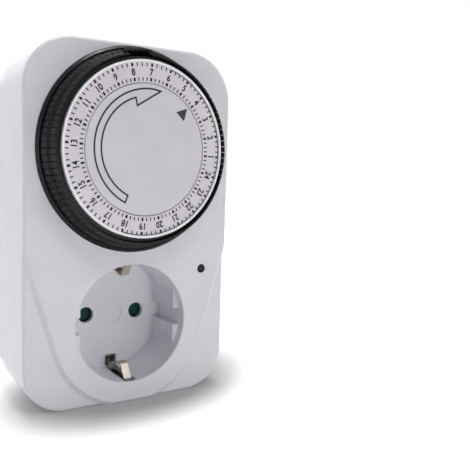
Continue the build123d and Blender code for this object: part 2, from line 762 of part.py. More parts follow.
with BuildPart() as dial_drum:
    web_back = -sleeve_front + drum_web
    turned(
        [
            (spindle_radius + running_clearance, -sleeve_front),
            (drum_rim_radius - drum_rim_wall, -sleeve_front),
            (drum_rim_radius - drum_rim_wall, -drum_top),
            (drum_rim_radius, -drum_top),
            (drum_rim_radius, -drum_floor_half),
            (skirt_bore_radius, -drum_floor_half),
            (skirt_bore_radius, -skirt_height),
            (skirt_bore_radius + skirt_lip, -skirt_height),
            (drum_base_radius, -dial_gap),
            (well_radius - free_gap, -dial_gap),
            (well_radius - free_gap, drum_floor_half),
            (drum_rim_radius - drum_rim_wall, drum_floor_half),
            (drum_rim_radius - drum_rim_wall, web_back),
            (sleeve_radius, web_back),
            (sleeve_radius, sleeve_back),
            (spindle_radius + running_clearance, sleeve_back),
        ],
        section(dial_height),
    )
    # slots for the tappets' feet, with a rib between one hour and the next
    with BuildSketch(at_depth(-drum_floor_half)):
        with Locations(dial_place):
            Circle(slot_outer)
            Circle(slot_inner, mode=Mode.SUBTRACT)
            with PolarLocations((slot_inner + slot_outer) / 2, hours, start_angle=scale_start):
                Rectangle(slot_outer - slot_inner + overlap, rib_width, mode=Mode.SUBTRACT)
    extrude(amount=2 * drum_floor_half, dir=backward, mode=Mode.SUBTRACT)
save(dial_drum.part, "dial_drum")

with BuildPart() as scale_ring:
    turned(
        [
            (scale_inner_radius, -scale_face),
            (scale_outer_radius - scale_lip_width, -scale_face),
            (scale_outer_radius - scale_lip_width, -scale_face - scale_lip_height),
            (scale_outer_radius, -scale_face - scale_lip_height),
            (scale_outer_radius, -drum_top),
            (scale_inner_radius, -drum_top),
        ],
        section(dial_height),
    )
save(scale_ring.part, "scale_ring")

disc_back = sleeve_front + free_gap
with BuildPart() as centre_disc:
    disc(scale_inner_radius - disc_gap, dial_place, -scale_face, -drum_top)
    fillet(faces().sort_by(Axis.Y)[0].edges(), disc_edge)
    disc(disc_boss_radius, dial_place, -drum_top - overlap, -disc_back)
    disc(spindle_radius, dial_place, -drum_top, -disc_back, Mode.SUBTRACT)
save(centre_disc.part, "centre_disc")

hour_angle = 360.0 / hours
tappet_angle = hour_angle / tappets_per_hour
gap_angle = degrees(tappet_gap / tappet_pivot_radius)
tappet_bottom = drum_floor_half + tappet_lift


def sector_plane(angle):
    """Section plane turned about the dial axis to the given direction."""
    return Plane(
        origin=(0, front_y, dial_height),
        x_dir=(cos(radians(angle)), 0, sin(radians(angle))),
        z_dir=(-sin(radians(angle)), 0, cos(radians(angle))),
    )


with BuildPart() as tappets:
    for index in range(tappets_per_hour):
        middle = (index - (tappets_per_hour - 1) / 2) * tappet_angle
        body_turn = tappet_angle - gap_angle
        turned(
            [
                (tappet_inner_radius, -tappet_top),
                (tappet_inner_radius + tappet_profile[0], -tappet_top),
                (tappet_inner_radius + tappet_profile[1], -ledge_depth - ledge_slope),
                (tappet_inner_radius + tappet_profile[2], -ledge_depth),
                (skirt_bore_radius - tappet_root[0], -skirt_height),
                (skirt_bore_radius - tappet_root[1], -tappet_bottom),
                (tappet_inner_radius, -tappet_bottom),
            ],
            sector_plane(middle + body_turn / 2),
            body_turn,
        )
        turned(
            [
                (tappet_pivot_radius - foot_half, -tappet_bottom - overlap),
                (tappet_pivot_radius + foot_half, -tappet_bottom - overlap),
                (tappet_pivot_radius + foot_half, foot_length),
                (tappet_pivot_radius - foot_half, foot_length),
            ],
            sector_plane(middle + foot_angle / 2),
            foot_angle,
        )

for hour in range(1, hours + 1):
    direction = scale_start + hour_angle * (hour + 0.5)
    group = tappets.part
    if hour == pushed_hour:
        pivot = Axis((tappet_pivot_radius, front_y - drum_floor_half, dial_height), (0, 0, 1))
        group = group.rotate(pivot, pushed_tilt)
    group = group.rotate(dial_axis, -direction)
    save(group, "tappets_hour_" + str(hour).zfill(2))

with BuildPart() as dial_spindle:
    disc(spindle_radius, dial_place, -drum_top, motor_start)
    disc(spindle_radius + spindle_flange, dial_place, sleeve_back + free_gap, chassis_depth)
save(dial_spindle.part, "dial_spindle")

# ---------------------------------------------------------------- gear train


def involute_flank(teeth, radius):
    """Angle from the start of the involute to a radius, in radians."""
    base = gear_module * teeth / 2 * cos(radians(pressure_angle))
    if radius <= base:
        return 0.0
    return sqrt((radius / base) ** 2 - 1) - acos(base / radius)


def gear_outline(teeth, phase):
    """Spur gear outline, a tooth pointing along phase; returns its points."""
    pitch = gear_module * teeth / 2
    root = pitch - dedendum * gear_module
    tip = pitch + addendum * gear_module
    half_tooth = pi / (2 * teeth) - flank_relief / pitch
    at_pitch = involute_flank(teeth, pitch)
    levels = [root, (pitch + root) / 2, pitch, tip]
    offsets = [half_tooth + at_pitch - involute_flank(teeth, radius) for radius in levels]
    points = []
    for tooth in range(teeth):
        centre = radians(phase) + 2 * pi * tooth / teeth
        rising = [(radius, centre - offset) for radius, offset in zip(levels, offsets)]
        falling = [(radius, centre + offset) for radius, offset in zip(levels, offsets)]
        for radius, angle in rising + falling[::-1]:
            points.append((radius * cos(angle), radius * sin(angle)))
    return points


def gear(teeth, phase, place, start, thickness):
    """Spur gear between two depths, its axis along Y."""
    with BuildSketch(at_depth(start)) as face:
        with Locations(place):
            with BuildLine() as edge:
                Polyline(*gear_outline(teeth, phase), close=True)
            add(make_face(edge.line.edges(), mode=Mode.PRIVATE))
    extrude(face.sketch, amount=thickness, dir=backward)


with BuildPart() as dial_gear:
    gear(dial_teeth, idler_angle, dial_place, first_gear_depth, gear_thickness)
    disc(sleeve_radius, dial_place, first_gear_depth, sleeve_back, Mode.SUBTRACT)
    with BuildSketch(at_depth(first_gear_depth)):
        with Locations(dial_place):
            with PolarLocations(web_hole_circle, web_holes):
                Circle(web_hole_radius)
    extrude(amount=gear_thickness, dir=backward, mode=Mode.SUBTRACT)
save(dial_gear.part, "dial_gear")

with BuildPart() as idler_gear:
    small_phase = idler_angle + 180 + 180 / small_teeth
    pinion_length = second_gear_depth - first_gear_depth + pinion_extra
    gear(small_teeth, small_phase, idler_place, first_gear_depth - pinion_extra, pinion_length)
    gear(large_teeth, motor_angle, idler_place, second_gear_depth, gear_thickness)
    disc(
        axle_radius + running_clearance,
        idler_place,
        first_gear_depth - pinion_extra,
        second_gear_depth + gear_thickness,
        Mode.SUBTRACT,
    )
save(idler_gear.part, "idler_gear")

with BuildPart() as idler_axle:
    disc(axle_radius, idler_place, well_back - axle_seat + seat_gap, motor_start)
save(idler_axle.part, "idler_axle")

with BuildPart() as motor_pinion:
    motor_phase = motor_angle + 180 + 180 / small_teeth
    pinion_start = second_gear_depth - pinion_extra
    gear(small_teeth, motor_phase, motor_place, pinion_start, gear_thickness + 2 * pinion_extra)
    disc(axle_radius, motor_place, second_gear_depth, motor_start + seat_gap)
save(motor_pinion.part, "motor_pinion")

can_place = beside(motor_place, motor_offset)
with BuildPart() as motor:
    disc(motor_radius, can_place, motor_start, motor_start + motor_length)
    fillet(faces().sort_by(Axis.Y)[-1].edges(), motor_edge)
    with BuildSketch(at_depth(motor_start)):
        with Locations(can_place):
            SlotCenterToCenter(2 * ear_reach, ear_width, rotation=ear_angle)
            with PolarLocations(ear_reach, 2, start_angle=ear_angle):
                Circle(ear_hole_radius, mode=Mode.SUBTRACT)
    extrude(amount=ear_thickness, dir=backward)
    bearing = axle_radius + running_clearance
    disc(bearing, motor_place, motor_start, motor_start + shaft_seat, Mode.SUBTRACT)
    can_back = motor_start + motor_length
    disc(cap_radius, can_place, can_back - overlap, can_back + cap_height)
save(motor.part, "motor")

with BuildPart() as chassis:
    with BuildSketch(at_depth(chassis_depth)):
        with Locations(*chassis_posts):
            Circle(chassis_margin)
        make_hull()
        with Locations(socket_place):
            Circle(recess_radius + cup_wall + cup_room, mode=Mode.SUBTRACT)
        with Locations((half_width, (bridge_z[0] + bridge_z[1]) / 2)):
            opening = 2 * (half_width - contact_tongue_x + strip_width / 2)
            Rectangle(opening, bridge_z[1] - bridge_z[0] + 2 * strip_width, mode=Mode.SUBTRACT)
        with Locations(dial_place):
            Circle(spindle_radius, mode=Mode.SUBTRACT)
        with Locations(idler_place):
            Circle(axle_radius, mode=Mode.SUBTRACT)
        with Locations(motor_place):
            Circle(axle_radius + free_gap, mode=Mode.SUBTRACT)
        with Locations(*chassis_posts):
            Circle(chassis_screw_radius + seat_gap, mode=Mode.SUBTRACT)
    extrude(amount=chassis_thickness, dir=backward)
save(chassis.part, "chassis")

with BuildPart() as chassis_screws:
    for place in chassis_posts:
        disc(chassis_screw_radius, place, chassis_depth - chassis_screw_bite, motor_start)
        disc(2 * chassis_screw_radius, place, motor_start, motor_start + chassis_screw_head)
save(chassis_screws.part, "chassis_screws")

# ---------------------------------------------------------------- switch

nose_place = polar(lever_nose_radius, lever_nose_angle, dial_place)
holder_front = well_back + holder_room
holder_back = holder_front + holder_depth
with BuildPart() as switch_lever:
    with BuildSketch(at_depth(lever_depth)):
        with BuildLine() as path:
            Polyline(nose_place, lever_pivot, lever_output)
        trace(path.line, line_width=lever_width)
        with Locations(nose_place):
            Circle(lever_width / 2)
        with Locations(lever_output):
            Circle(lever_width / 2 + seat_gap)
        with Locations(lever_pivot):
            Circle(lever_stud_radius + lever_hub_wall)
            Circle(lever_stud_radius + running_clearance, mode=Mode.SUBTRACT)
    extrude(amount=lever_thickness, dir=backward)
    disc(lever_nose_tip, nose_place, drum_floor_half + free_gap, lever_depth)
    disc(lever_pin_radius, lever_output, lever_depth, holder_back)
save(switch_lever.part, "switch_lever")

with BuildPart() as lever_spring:
    coil_start = lever_depth + lever_thickness + seat_gap
    torsion_spring(lever_pivot, coil_start, lever_coil_radius, lever_spring_turns, lever_spring_leg)
save(lever_spring.part, "lever_spring")

bridge_x = lever_output[0] + holder_half
with BuildPart() as bridge_holder:
    holder_x = (lever_output[0] - holder_half, bridge_x)
    block(holder_x, (holder_front, holder_back), around(lever_output[1], holder_height))
    disc(lever_pin_radius, lever_output, holder_front, holder_back, Mode.SUBTRACT)
save(bridge_holder.part, "bridge_holder")


def contact_button(x_start, x_end, height):
    """Round contact rivet along X, at the middle of the bridge's depth."""
    middle = (x_start, front_y + (holder_front + holder_back) / 2, height)
    side_plane = Plane(origin=middle, x_dir=(0, 1, 0), z_dir=(1, 0, 0))
    with BuildSketch(side_plane) as face:
        Circle(contact_radius)
    extrude(face.sketch, amount=x_end - x_start)


button_face = bridge_x + bridge_strip + button_height
with BuildPart() as contact_bridge:
    strip_z = (bridge_z[0] - bridge_end, bridge_z[1] + bridge_end)
    strip_depth = around((holder_front + holder_back) / 2, bridge_width)
    block((bridge_x, bridge_x + bridge_strip), strip_depth, strip_z)
    for height in bridge_z:
        contact_button(bridge_x + bridge_strip, button_face, height)
save(contact_bridge.part, "contact_bridge")

with BuildPart() as fixed_contacts:
    for height in bridge_z:
        stroke = radians(lever_swing) * (lever_pivot[1] - height)
        contact_button(button_face + stroke + contact_air_gap, contact_tongue_x, height)
save(fixed_contacts.part, "fixed_contacts")

# ---------------------------------------------------------------- indicator and side slider

with BuildPart() as indicator_lens:
    disc(indicator_radius, indicator_place, lens_sink, lens_sink + lens_length)
    fillet(faces().sort_by(Axis.Y)[0].edges(), lens_edge)
save(indicator_lens.part, "indicator_lens")

with BuildPart() as indicator_lamp:
    lamp_start = lens_sink + lens_length + seat_gap
    lamp_end = lamp_start + lamp_length
    disc(indicator_radius - lens_slack, indicator_place, lamp_start, lamp_end)
    for side in (-1, 1):
        lead = (indicator_place[0] + side * lead_spacing / 2, indicator_place[1])
        disc(lead_radius, lead, lamp_end, link_start - seat_gap)
save(indicator_lamp.part, "indicator_lamp")

with BuildPart() as mode_slider:
    knob_low = slider_height - slider_travel / 2 - slider_knob[1] / 2
    knob_high = knob_low + slider_knob[1]
    plate_x = half_width - shell_wall - slider_slack
    knob_x = half_width + slider_slack
    knob_y = around(slider_depth, slider_knob[0])
    plate_z = (knob_low - slider_plate_reach, knob_high + slider_plate_reach)
    block((plate_x, knob_x), around(slider_depth, slider_neck), (knob_low, knob_high))
    block((knob_x, half_width + slider_proud), knob_y, (knob_low, knob_high))
    block((plate_x - slider_plate, plate_x), knob_y, plate_z)
save(mode_slider.part, "mode_slider")
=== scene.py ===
"""Finish, printing, light and camera of the plug-in timer switch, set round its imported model."""

import json
from math import atan2, cos, hypot, pi, radians, sin

import bmesh
import bpy
from mathutils import Color, Matrix, Vector


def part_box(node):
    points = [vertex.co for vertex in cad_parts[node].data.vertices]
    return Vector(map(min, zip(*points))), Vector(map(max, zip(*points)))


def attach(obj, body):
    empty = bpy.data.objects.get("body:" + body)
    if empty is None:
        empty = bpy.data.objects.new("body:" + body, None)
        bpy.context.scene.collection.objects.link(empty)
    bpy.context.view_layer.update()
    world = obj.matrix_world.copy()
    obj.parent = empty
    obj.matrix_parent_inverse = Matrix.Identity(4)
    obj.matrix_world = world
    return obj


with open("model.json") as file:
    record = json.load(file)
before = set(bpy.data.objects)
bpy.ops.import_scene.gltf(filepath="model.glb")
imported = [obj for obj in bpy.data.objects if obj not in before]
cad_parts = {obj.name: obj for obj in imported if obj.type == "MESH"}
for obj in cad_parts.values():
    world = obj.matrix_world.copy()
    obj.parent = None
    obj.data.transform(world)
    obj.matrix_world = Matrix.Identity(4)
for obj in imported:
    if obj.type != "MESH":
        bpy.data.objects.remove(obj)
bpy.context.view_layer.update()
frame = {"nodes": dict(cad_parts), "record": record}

MM = 0.001

# ---------------------------------------------------------------- places taken from the frame

RING_LIP_HEIGHT = 0.3 * MM      # the ring's lip stands this far in front of its printed face

ring_low, ring_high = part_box("scale_ring")
dial_x = (ring_low.x + ring_high.x) / 2
dial_z = (ring_low.z + ring_high.z) / 2
ring_face = ring_low.y + RING_LIP_HEIGHT

disc_low, disc_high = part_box("centre_disc")
disc_face = disc_low.y
disc_radius = (disc_high.x - disc_low.x) / 2

lens_low, lens_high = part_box("indicator_lens")
lens_x = (lens_low.x + lens_high.x) / 2
lens_z = (lens_low.z + lens_high.z) / 2
lens_radius = (lens_high.x - lens_low.x) / 2


def from_disc(distance):
    """Radius on the dial, from its distance in mm outside the edge of the centre disc."""
    return disc_radius + distance * MM


# ---------------------------------------------------------------- sizes of the printing

HOURS = 24
QUARTERS = 4
SCALE_START = -18.0             # direction of hour 24, in degrees from +X towards +Z
PRINT_HEIGHT = 0.04 * MM        # ink stands this far out of the surface
PRINT_SINK = 0.03 * MM          # and reaches this far into it

OUTER_TICKS = (from_disc(5.0), from_disc(6.05))
INNER_TICKS = (from_disc(0.65), from_disc(1.7))
TICK_WIDTH = 0.36 * MM
HOUR_TICK_WIDTH = 0.68 * MM

NIGHT_INNER = from_disc(5.85)
NIGHT_OUTER = from_disc(6.1)
NIGHT_START = -6                # hour 18 of the day before
NIGHT_END = 6
NIGHT_STEPS = 90                # straight pieces that make up the arc

NUMBER_RADIUS = from_disc(3.35)
NUMBER_HEIGHT = 2.15 * MM
NUMBER_SQUEEZE = 0.85           # the figures are narrow
NUMBER_WEIGHT = 0.027           # outline offset of the figures, in text units
NUMBER_WELD = 1e-5              # points closer than this become one, in text units
NUMBER_CURVE_STEPS = 4

ARROW_LINE = 0.54 * MM          # width of the arrow's outline
ARROW_STEPS = 60                # straight pieces in each long side of the arrow
HEAD_STEPS = 12                 # and in the round side of its head
MITRE_LIMIT = 0.35              # a sharp corner reaches out by no more than 1 / 0.35 half widths

# ---------------------------------------------------------------- node trees


def srgb(red, green, blue):
    """Linear colour from 0 to 255 display values."""
    return (*Color((red / 255, green / 255, blue / 255)).from_srgb_to_scene_linear(), 1.0)


class Wiring:
    """Short ways to add nodes to a node tree."""

    def __init__(self, tree):
        self.tree = tree

    def node(self, kind):
        return self.tree.nodes.new("ShaderNode" + kind)

    def feed(self, value, target):
        """Links an output to an input, or sets the input to a plain value."""
        if isinstance(value, bpy.types.NodeSocket):
            self.tree.links.new(value, target)
        else:
            target.default_value = value

    def math(self, operation, first, second):
        node = self.node("Math")
        node.operation = operation
        self.feed(first, node.inputs[0])
        self.feed(second, node.inputs[1])
        return node.outputs["Value"]

    def vector_math(self, operation, *values):
        """Vector, or the number that a length or a dot product gives."""
        node = self.node("VectorMath")
        node.operation = operation
        for value, target in zip(values, node.inputs):
            self.feed(value, target)
        return node.outputs["Value" if operation in ("LENGTH", "DOT_PRODUCT") else "Vector"]

    def between(self, value, low, high, start=0.0, end=1.0, interpolation="LINEAR"):
        """Number that runs from low to high as the value runs from start to end."""
        node = self.node("MapRange")
        node.interpolation_type = interpolation
        node.inputs["From Min"].default_value = start
        node.inputs["From Max"].default_value = end
        node.inputs["To Min"].default_value = low
        node.inputs["To Max"].default_value = high
        self.feed(value, node.inputs["Value"])
        return node.outputs["Result"]

    def mix(self, kind, factor, first, second):
        """Number or colour between two others."""
        node = self.node("Mix")
        node.data_type = kind
        self.feed(factor, node.inputs["Factor"])
        self.feed(first, node.inputs["A"])
        self.feed(second, node.inputs["B"])
        return node.outputs["Result"]

    def seen_rays(self, seen, unseen):
        """One number for rays that show the background, another for those that light the timer."""
        path = self.node("LightPath")
        either = self.math("MAXIMUM", path.outputs["Is Camera Ray"], path.outputs["Is Glossy Ray"])
        shown = self.math("MAXIMUM", either, path.outputs["Is Transmission Ray"])
        return self.between(shown, unseen, seen)


# ---------------------------------------------------------------- materials

NOISE_MIDDLE = (0.35, 0.65)     # most of a noise texture's values lie in this range
EVEN = (1.0, 1.0, 1.0)          # noise that isn't stretched

EDGE_RADIUS = 0.25 * MM         # of moulded edges
EDGE_SAMPLES = 6
CLOUD_SIZE = 8 * MM             # of the faint clouding in moulded plastic
GLOSS_SIZE = 2.5 * MM           # of its glossier and duller spots
GLOSS_SPREAD = 0.05             # of its roughness, up and down
WAVE_SIZE = 6 * MM              # of the shallow waves under its grain
WAVE_DEPTH = 3                  # in depths of the grain

TARNISH_SIZE = 3 * MM           # of the paler and darker spots of metal
LINE_SIZE = 0.25 * MM           # across its drawn lines
LINE_STRETCH = (1.0, 0.12, 1.0)     # the lines run along the depth of the housing
LINE_SPREAD = 0.08              # of its roughness, up and down

HAZE_SIZE = 2 * MM              # of the faint haze in glass
HAZE_ROUGHNESS = (0.03, 0.1)

INK_SIZE = 0.6 * MM             # of the ink's thinner and thicker spots
INK_GLOSS_SIZE = 1 * MM
INK_ROUGHNESS = (0.5, 0.62)
INK_SPECULAR = 0.2


class Finish(Wiring):
    """A material under construction, wired from the object's own coordinates to its shader."""

    def __init__(self, name):
        self.material = bpy.data.materials.new(name)
        self.material.use_nodes = True
        super().__init__(self.material.node_tree)
        self.shader = self.tree.nodes["Principled BSDF"]
        self.place = self.node("TexCoord").outputs["Object"]

    def set(self, name, value):
        """Sets or links one of the shader's inputs."""
        self.feed(value, self.shader.inputs[name])

    def noise(self, size, detail=2.0, stretch=EVEN):
        """Noise whose features are about size metres wide."""
        mapping = self.node("Mapping")
        mapping.inputs["Scale"].default_value = stretch
        self.feed(self.place, mapping.inputs["Vector"])
        texture = self.node("TexNoise")
        texture.inputs["Scale"].default_value = 1.0 / size
        texture.inputs["Detail"].default_value = detail
        self.feed(mapping.outputs["Vector"], texture.inputs["Vector"])
        return texture.outputs["Fac"]

    def vary(self, noise, low, high):
        """Number that runs from low to high with a noise."""
        return self.between(noise, low, high, *NOISE_MIDDLE)

    def cloud(self, noise, light, dark):
        """Colour that runs from light to dark with a noise."""
        return self.mix("RGBA", self.vary(noise, 0.0, 1.0), light, dark)

    def band(self, colour, middle, start, end, paint):
        """Colour that changes to paint between two radii about an axis along the depth."""
        offset = self.vector_math("SUBTRACT", self.place, (middle[0], 0.0, middle[1]))
        flat = self.vector_math("MULTIPLY", offset, (1.0, 0.0, 1.0))
        radius = self.vector_math("LENGTH", flat)
        return self.mix("RGBA", self.between(radius, 0.0, 1.0, start, end), colour, paint)

    def soft_edges(self):
        """Normal that rounds the moulded edges."""
        node = self.node("Bevel")
        node.samples = EDGE_SAMPLES
        node.inputs["Radius"].default_value = EDGE_RADIUS
        return node.outputs["Normal"]

    def bump(self, height, depth, below=None):
        """Relief of the given depth in metres, laid over another normal if there is one."""
        node = self.node("Bump")
        node.inputs["Distance"].default_value = depth
        self.feed(height, node.inputs["Height"])
        if below is not None:
            self.feed(below, node.inputs["Normal"])
        return node.outputs["Normal"]


def plastic(name, light, dark, roughness, grain, grain_depth, specular=0.5, band=None):
    """Moulded plastic: faint clouding of the colour, uneven gloss, soft edges and a fine grain."""
    finish = Finish(name)
    colour = finish.cloud(finish.noise(CLOUD_SIZE), light, dark)
    if band is not None:
        colour = finish.band(colour, *band)
    finish.set("Base Color", colour)
    gloss = finish.noise(GLOSS_SIZE, detail=4.0)
    finish.set("Roughness", finish.vary(gloss, roughness - GLOSS_SPREAD, roughness + GLOSS_SPREAD))
    waves = finish.noise(WAVE_SIZE, detail=1.0)
    wavy = finish.bump(waves, WAVE_DEPTH * grain_depth, finish.soft_edges())
    finish.set("Normal", finish.bump(finish.noise(grain, detail=3.0), grain_depth, wavy))
    finish.set("Specular IOR Level", specular)
    return finish.material


def metal(name, light, dark, roughness, line_depth):
    """Stamped or turned metal with fine drawn lines."""
    finish = Finish(name)
    finish.set("Base Color", finish.cloud(finish.noise(TARNISH_SIZE, detail=4.0), light, dark))
    lines = finish.noise(LINE_SIZE, detail=3.0, stretch=LINE_STRETCH)
    finish.set("Roughness", finish.vary(lines, roughness - LINE_SPREAD, roughness + LINE_SPREAD))
    finish.set("Normal", finish.bump(lines, line_depth))
    finish.set("Metallic", 1.0)
    return finish.material


def glass(name):
    """Clear glass, faintly uneven."""
    finish = Finish(name)
    finish.set("Transmission Weight", 1.0)
    finish.set("Roughness", finish.vary(finish.noise(HAZE_SIZE), *HAZE_ROUGHNESS))
    return finish.material


def ink(name, light, dark):
    """Printed ink, a little uneven in cover."""
    finish = Finish(name)
    finish.set("Base Color", finish.cloud(finish.noise(INK_SIZE, detail=3.0), light, dark))
    finish.set("Roughness", finish.vary(finish.noise(INK_GLOSS_SIZE), *INK_ROUGHNESS))
    finish.set("Specular IOR Level", INK_SPECULAR)
    return finish.material


# bands of another colour: middle, radius where it starts, radius from which it is full, paint
# whiter band on the ring's rounded lip: a painted highlight of the light that its edge catches
LIP_PAINTED_HIGHLIGHT = ((dial_x, dial_z), from_disc(6.2), from_disc(6.35), srgb(250, 249, 252))
BLACK_COLLAR = ((lens_x, lens_z), 0.5 * lens_radius, 0.62 * lens_radius, srgb(10, 10, 12))

PLASTICS = {
    "housing": dict(
        light=srgb(226, 225, 231), dark=srgb(223, 222, 228),
        roughness=0.42, grain=0.35 * MM, grain_depth=0.004 * MM,
    ),
    "scale_white": dict(
        light=srgb(224, 219, 224), dark=srgb(219, 213, 220),
        roughness=0.35, grain=0.3 * MM, grain_depth=0.003 * MM, band=LIP_PAINTED_HIGHLIGHT,
    ),
    "centre_grey": dict(
        light=srgb(217, 215, 222), dark=srgb(213, 211, 218),
        roughness=0.4, grain=0.3 * MM, grain_depth=0.003 * MM,
    ),
    "dial_black": dict(
        light=srgb(20, 24, 26), dark=srgb(16, 19, 21),
        roughness=0.34, grain=0.3 * MM, grain_depth=0.003 * MM, specular=0.17,
    ),
    "shutter_green": dict(
        light=srgb(6, 68, 56), dark=srgb(4, 58, 47),
        roughness=0.4, grain=0.3 * MM, grain_depth=0.004 * MM, specular=0.15,
    ),
    "inner_plastic": dict(
        light=srgb(205, 200, 190), dark=srgb(196, 190, 180),
        roughness=0.5, grain=0.4 * MM, grain_depth=0.006 * MM,
    ),
    "gear_plastic": dict(
        light=srgb(236, 234, 226), dark=srgb(226, 223, 213),
        roughness=0.35, grain=0.3 * MM, grain_depth=0.004 * MM,
    ),
    "slider_grey": dict(
        light=srgb(70, 72, 76), dark=srgb(62, 64, 68),
        roughness=0.45, grain=0.3 * MM, grain_depth=0.006 * MM,
    ),
    "lens_dark": dict(
        light=srgb(52, 50, 56), dark=srgb(44, 42, 48),
        roughness=0.2, grain=0.5 * MM, grain_depth=0.002 * MM, specular=0.12, band=BLACK_COLLAR,
    ),
}

METALS = {
    "motor_can": dict(
        light=srgb(190, 190, 186), dark=srgb(170, 170, 166), roughness=0.35, line_depth=0.003 * MM
    ),
    "contact_brass": dict(
        light=srgb(214, 180, 110), dark=srgb(190, 152, 86), roughness=0.3, line_depth=0.003 * MM
    ),
    "nickel_strip": dict(
        light=srgb(190, 180, 172), dark=srgb(172, 162, 154), roughness=0.45, line_depth=0.004 * MM
    ),
    "plug_nickel": dict(
        light=srgb(216, 214, 208), dark=srgb(198, 196, 190), roughness=0.22, line_depth=0.002 * MM
    ),
    "screw_steel": dict(
        light=srgb(180, 180, 178), dark=srgb(160, 160, 158), roughness=0.35, line_depth=0.003 * MM
    ),
    "spring_steel": dict(
        light=srgb(176, 178, 180), dark=srgb(150, 152, 154), roughness=0.3, line_depth=0.002 * MM
    ),
}


def make_finishes():
    """Materials by the names of the record's material slots."""
    finishes = {name: plastic(name, **look) for name, look in PLASTICS.items()}
    for name, look in METALS.items():
        finishes[name] = metal(name, **look)
    finishes["lamp_glass"] = glass("lamp_glass")
    return finishes


def dress_nodes():
    """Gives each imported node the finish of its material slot."""
    finishes = make_finishes()
    for item in frame["record"]["subparts"]:
        slots = frame["nodes"][item["node"]].data.materials
        slots.clear()
        slots.append(finishes[item["material_slot"]])


# ---------------------------------------------------------------- shapes of the printing


def polar(radius, angle):
    """Point of the dial's plane, (across, up), from its middle."""
    return (radius * cos(radians(angle)), radius * sin(radians(angle)))


def on_disc(inset, angle):
    """Point of the disc's face, from its distance in mm inside the disc's edge and its direction."""
    return polar(from_disc(-inset), angle)


def hour_angle(hour):
    """Direction of an hour on the scale."""
    return SCALE_START + hour * 360 / HOURS


def arc(first, middle, last, steps):
    """Points along the circle arc through three points, both ends included."""
    (ax, az), (bx, bz), (cx, cz) = first, middle, last
    a2 = ax**2 + az**2
    b2 = bx**2 + bz**2
    c2 = cx**2 + cz**2
    double_area = 2 * (ax * (bz - cz) + bx * (cz - az) + cx * (az - bz))
    centre_x = (a2 * (bz - cz) + b2 * (cz - az) + c2 * (az - bz)) / double_area
    centre_z = (a2 * (cx - bx) + b2 * (ax - cx) + c2 * (bx - ax)) / double_area
    radius = hypot(ax - centre_x, az - centre_z)
    start = atan2(az - centre_z, ax - centre_x)
    through = (atan2(bz - centre_z, bx - centre_x) - start) % (2 * pi)
    sweep = (atan2(cz - centre_z, cx - centre_x) - start) % (2 * pi)
    if sweep < through:
        sweep -= 2 * pi
    points = []
    for step in range(steps + 1):
        angle = start + sweep * step / steps
        points.append((centre_x + radius * cos(angle), centre_z + radius * sin(angle)))
    return points


def loop(mesh, points, depth):
    """New vertices at these points of the dial's plane, at this depth."""
    return [mesh.verts.new((dial_x + x, depth, dial_z + z)) for x, z in points]


def prism(mesh, outline, face):
    """Adds a thin closed plate with this outline, printed on the face."""
    front = loop(mesh, outline, face - PRINT_HEIGHT)
    back = loop(mesh, outline, face + PRINT_SINK)
    mesh.faces.new(front)
    mesh.faces.new(back[::-1])
    for a in range(len(outline)):
        b = (a + 1) % len(outline)
        mesh.faces.new((front[b], front[a], back[a], back[b]))


def outline_strip(mesh, points, width, face):
    """Adds a closed line of even width, mitred at its corners, printed on the face."""
    count = len(points)
    left = []
    right = []
    for index in range(count):
        before = Vector(points[index - 1])
        here = Vector(points[index])
        after = Vector(points[(index + 1) % count])
        into = (here - before).normalized()
        out = (after - here).normalized()
        normal = Vector((-into.y - out.y, into.x + out.x)).normalized()
        reach = width / 2 / max(MITRE_LIMIT, normal.dot(Vector((-into.y, into.x))))
        left.append(here + normal * reach)
        right.append(here - normal * reach)
    front = face - PRINT_HEIGHT
    back = face + PRINT_SINK
    # round the section of the line: front left, front right, back right, back left
    section = [
        loop(mesh, left, front), loop(mesh, right, front), loop(mesh, right, back), loop(mesh, left, back)
    ]
    for a in range(count):
        b = (a + 1) % count
        for index, side in enumerate(section):
            beside = section[index - 1]
            mesh.faces.new((beside[a], beside[b], side[b], side[a]))


def add_piece(mesh, name, material, body):
    """Turns a finished bmesh into a printed piece that rides on a body."""
    bmesh.ops.recalc_face_normals(mesh, faces=mesh.faces)
    data = bpy.data.meshes.new(name)
    mesh.to_mesh(data)
    mesh.free()
    data.materials.append(material)
    piece = bpy.data.objects.new(name, data)
    bpy.context.scene.collection.objects.link(piece)
    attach(piece, body)


def tick_outline(radii, angle, width):
    """Short radial bar between two radii."""
    out_x, out_z = polar(1.0, angle)
    side_x, side_z = polar(width / 2, angle + 90)
    inner, outer = radii
    corners = ((inner, -1), (outer, -1), (outer, 1), (inner, 1))
    return [(out_x * radius + side_x * side, out_z * radius + side_z * side) for radius, side in corners]


def quarter_hour_ticks(material):
    """Ticks along both edges of the ring, bolder at each hour."""
    mesh = bmesh.new()
    for index in range(HOURS * QUARTERS):
        width = HOUR_TICK_WIDTH if index % QUARTERS == 0 else TICK_WIDTH
        for radii in (OUTER_TICKS, INNER_TICKS):
            prism(mesh, tick_outline(radii, hour_angle(index / QUARTERS), width), ring_face)
    add_piece(mesh, "scale_ticks", material, "dial")


def night_line(material):
    """Fine line that joins the outer ticks over the half of the scale from 18 to 6."""
    mesh = bmesh.new()
    step = (NIGHT_END - NIGHT_START) / NIGHT_STEPS
    angles = [hour_angle(NIGHT_START + index * step) for index in range(NIGHT_STEPS + 1)]
    inner = [polar(NIGHT_INNER, angle) for angle in angles]
    outer = [polar(NIGHT_OUTER, angle) for angle in angles]
    prism(mesh, outer + inner[::-1], ring_face)
    add_piece(mesh, "scale_night_line", material, "dial")


